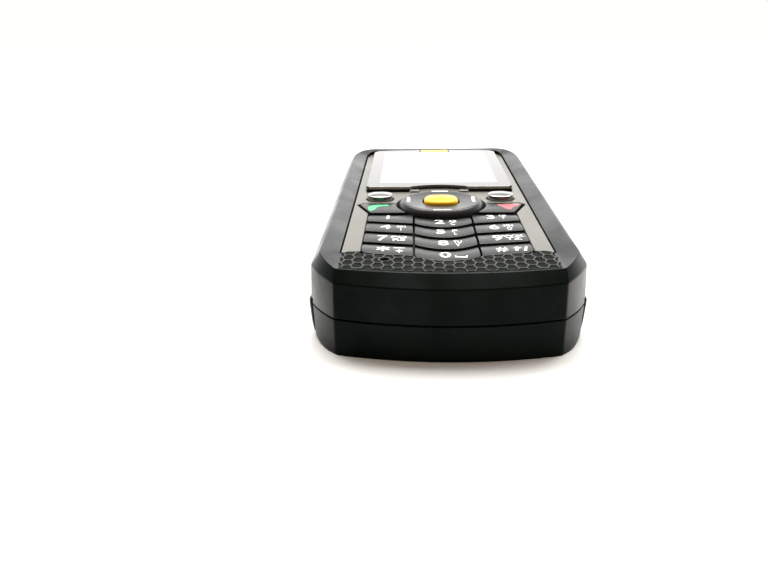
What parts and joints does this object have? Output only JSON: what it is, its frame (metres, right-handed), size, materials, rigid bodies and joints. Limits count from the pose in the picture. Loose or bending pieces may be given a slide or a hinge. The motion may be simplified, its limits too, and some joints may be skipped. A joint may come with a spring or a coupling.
{
  "type": "rugged keypad mobile phone",
  "caption": "Rugged bar phone with a small screen, a navigation ring with an amber select key, a curved number keypad, a honeycomb lower strip and a removable battery cover.",
  "frame": {"origin": "middle of the phone's footprint on the flat back it rests on", "axes": "+X across the phone to the right as its user sees it, +Y along it from the keypad end to the screen end, +Z out of the screen"},
  "size_m": [0.0584, 0.124, 0.0197],
  "materials": {
    "frame_rubber": "dark grey-black rubberised skin, satin, slightly hazy",
    "housing_plastic": "near-black textured plastic",
    "cover_plastic": "near-black textured plastic",
    "grip_rubber": "matt ribbed rubber",
    "panel_plastic": "dark warm grey lacquered panel, glossy",
    "window_glass": "clear polished window with a grey printed border",
    "badge_metal": "plain yellow plate",
    "display_unit": "switched-off display, grey",
    "key_plastic": "dark grey gloss key caps with white legends",
    "ring_plastic": "dark grey gloss ring with a dished face",
    "amber_plastic": "amber yellow gloss",
    "membrane_silicone": "black silicone rubber",
    "dome_film": "translucent polyester film",
    "board_laminate": "green solder mask",
    "can_steel": "tin-plated pressed steel",
    "speaker_metal": "plain steel",
    "motor_steel": "plain steel",
    "battery_pack": "dark wrapped lithium pack",
    "contact_brass": "gold-plated spring contacts in a block",
    "side_rubber": "matt moulded rubber",
    "jack_plastic": "black moulded plastic",
    "lens_clear": "clear polycarbonate",
    "screw_steel": "blackened steel"
  },
  "bodies": {
    "housing": {"outer_frame": "frame_rubber", "rear_housing": "housing_plastic", "side_grip_left": "grip_rubber", "side_grip_right": "grip_rubber", "keypad_fascia": "panel_plastic", "screen_window": "window_glass", "badge_plate": "badge_metal", "lcd_module": "display_unit", "keypad_membrane": "membrane_silicone", "dome_sheet": "dome_film", "main_pcb": "board_laminate", "shield_can_rf": "can_steel", "shield_can_baseband": "can_steel", "earpiece": "speaker_metal", "loudspeaker": "speaker_metal", "microphone": "speaker_metal", "vibration_motor": "motor_steel", "battery": "battery_pack", "battery_connector": "contact_brass", "sim_holder": "can_steel", "memory_card_holder": "can_steel", "micro_usb_socket": "can_steel", "audio_jack": "jack_plastic", "camera_module": "jack_plastic", "camera_window": "lens_clear", "torch_led": "dome_film", "torch_lens": "lens_clear", "housing_screw_1": "screw_steel", "housing_screw_2": "screw_steel", "housing_screw_3": "screw_steel", "housing_screw_4": "screw_steel", "housing_gasket": "membrane_silicone", "antenna_carrier": "membrane_silicone"},
    "key_1_body": {"key_1": "key_plastic"},
    "key_2_body": {"key_2": "key_plastic"},
    "key_3_body": {"key_3": "key_plastic"},
    "key_4_body": {"key_4": "key_plastic"},
    "key_5_body": {"key_5": "key_plastic"},
    "key_6_body": {"key_6": "key_plastic"},
    "key_7_body": {"key_7": "key_plastic"},
    "key_8_body": {"key_8": "key_plastic"},
    "key_9_body": {"key_9": "key_plastic"},
    "key_star_body": {"key_star": "key_plastic"},
    "key_0_body": {"key_0": "key_plastic"},
    "key_hash_body": {"key_hash": "key_plastic"},
    "soft_key_left_body": {"soft_key_left": "key_plastic"},
    "soft_key_right_body": {"soft_key_right": "key_plastic"},
    "call_key_body": {"call_key": "key_plastic"},
    "end_key_body": {"end_key": "key_plastic"},
    "select_key_body": {"select_key": "amber_plastic"},
    "ring_base_body": {"dpad_base": "membrane_silicone"},
    "ring_body": {"dpad_ring": "ring_plastic"},
    "volume_rocker_body": {"volume_rocker": "side_rubber"},
    "torch_key_body": {"torch_key": "side_rubber"},
    "usb_cover_body": {"usb_cover": "side_rubber"},
    "audio_cover_body": {"audio_cover": "side_rubber"},
    "battery_cover_body": {"battery_cover": "cover_plastic"},
    "cover_lock_1_body": {"cover_lock_1": "screw_steel"},
    "cover_lock_2_body": {"cover_lock_2": "screw_steel"}
  },
  "joints": [
    {"name": "key_1_press", "type": "slide", "parent": "housing", "child": "key_1_body", "axis": [0, 0, -1], "range_m": [0, 0.0004], "stiffness_N_per_m": 400, "springref_m": -0.00005},
    {"name": "key_2_press", "type": "slide", "parent": "housing", "child": "key_2_body", "axis": [0, 0, -1], "range_m": [0, 0.0004], "stiffness_N_per_m": 400, "springref_m": -0.00005},
    {"name": "key_3_press", "type": "slide", "parent": "housing", "child": "key_3_body", "axis": [0, 0, -1], "range_m": [0, 0.0004], "stiffness_N_per_m": 400, "springref_m": -0.00005},
    {"name": "key_4_press", "type": "slide", "parent": "housing", "child": "key_4_body", "axis": [0, 0, -1], "range_m": [0, 0.0004], "stiffness_N_per_m": 400, "springref_m": -0.00005},
    {"name": "key_5_press", "type": "slide", "parent": "housing", "child": "key_5_body", "axis": [0, 0, -1], "range_m": [0, 0.0004], "stiffness_N_per_m": 400, "springref_m": -0.00005},
    {"name": "key_6_press", "type": "slide", "parent": "housing", "child": "key_6_body", "axis": [0, 0, -1], "range_m": [0, 0.0004], "stiffness_N_per_m": 400, "springref_m": -0.00005},
    {"name": "key_7_press", "type": "slide", "parent": "housing", "child": "key_7_body", "axis": [0, 0, -1], "range_m": [0, 0.0004], "stiffness_N_per_m": 400, "springref_m": -0.00005},
    {"name": "key_8_press", "type": "slide", "parent": "housing", "child": "key_8_body", "axis": [0, 0, -1], "range_m": [0, 0.0004], "stiffness_N_per_m": 400, "springref_m": -0.00005},
    {"name": "key_9_press", "type": "slide", "parent": "housing", "child": "key_9_body", "axis": [0, 0, -1], "range_m": [0, 0.0004], "stiffness_N_per_m": 400, "springref_m": -0.00005},
    {"name": "key_star_press", "type": "slide", "parent": "housing", "child": "key_star_body", "axis": [0, 0, -1], "range_m": [0, 0.0004], "stiffness_N_per_m": 400, "springref_m": -0.00005},
    {"name": "key_0_press", "type": "slide", "parent": "housing", "child": "key_0_body", "axis": [0, 0, -1], "range_m": [0, 0.0004], "stiffness_N_per_m": 400, "springref_m": -0.00005},
    {"name": "key_hash_press", "type": "slide", "parent": "housing", "child": "key_hash_body", "axis": [0, 0, -1], "range_m": [0, 0.0004], "stiffness_N_per_m": 400, "springref_m": -0.00005},
    {"name": "soft_key_left_press", "type": "slide", "parent": "housing", "child": "soft_key_left_body", "axis": [0, 0, -1], "range_m": [0, 0.0004], "stiffness_N_per_m": 400, "springref_m": -0.00005},
    {"name": "soft_key_right_press", "type": "slide", "parent": "housing", "child": "soft_key_right_body", "axis": [0, 0, -1], "range_m": [0, 0.0004], "stiffness_N_per_m": 400, "springref_m": -0.00005},
    {"name": "call_key_press", "type": "slide", "parent": "housing", "child": "call_key_body", "axis": [0, 0, -1], "range_m": [0, 0.0004], "stiffness_N_per_m": 400, "springref_m": -0.00005},
    {"name": "end_key_press", "type": "slide", "parent": "housing", "child": "end_key_body", "axis": [0, 0, -1], "range_m": [0, 0.0004], "stiffness_N_per_m": 400, "springref_m": -0.00005},
    {"name": "select_key_press", "type": "slide", "parent": "housing", "child": "select_key_body", "axis": [0, 0, -1], "range_m": [0, 0.0004], "stiffness_N_per_m": 400, "springref_m": -0.00005},
    {"name": "ring_tilt_up_down", "type": "hinge", "parent": "housing", "child": "ring_base_body", "pos_m": [0, -0.008, 0.01445], "axis": [1, 0, 0], "range_deg": [-1.8, 1.8], "stiffness_Nm_per_rad": 0.3},
    {"name": "ring_tilt_left_right", "type": "hinge", "parent": "ring_base_body", "child": "ring_body", "pos_m": [0, -0.008, 0.01445], "axis": [0, 1, 0], "range_deg": [-1.8, 1.8], "stiffness_Nm_per_rad": 0.3},
    {"name": "volume_rock", "type": "hinge", "parent": "housing", "child": "volume_rocker_body", "pos_m": [0.026, 0.028, 0.012], "axis": [0, 0, 1], "range_deg": [-2, 2], "stiffness_Nm_per_rad": 0.2},
    {"name": "torch_key_press", "type": "slide", "parent": "housing", "child": "torch_key_body", "axis": [-1, 0, 0], "range_m": [0, 0.0004], "stiffness_N_per_m": 400, "springref_m": -0.00005},
    {"name": "usb_cover_open", "type": "hinge", "parent": "housing", "child": "usb_cover_body", "pos_m": [-0.007, 0.06145, 0.01005], "axis": [-1, 0, 0], "range_deg": [0, 95]},
    {"name": "audio_cover_open", "type": "hinge", "parent": "housing", "child": "audio_cover_body", "pos_m": [0.009, 0.06145, 0.00895], "axis": [-1, 0, 0], "range_deg": [0, 95]},
    {"name": "battery_cover_off", "type": "slide", "parent": "housing", "child": "battery_cover_body", "axis": [0, 0, -1], "range_m": [0, 0.008]},
    {"name": "cover_lock_1_turn", "type": "hinge", "parent": "battery_cover_body", "child": "cover_lock_1_body", "pos_m": [-0.013, -0.0415, 0.0004], "axis": [0, 0, -1], "range_deg": [0, 90]},
    {"name": "cover_lock_2_turn", "type": "hinge", "parent": "battery_cover_body", "child": "cover_lock_2_body", "pos_m": [0.013, -0.0415, 0.0004], "axis": [0, 0, -1], "range_deg": [0, 90]}
  ]
}
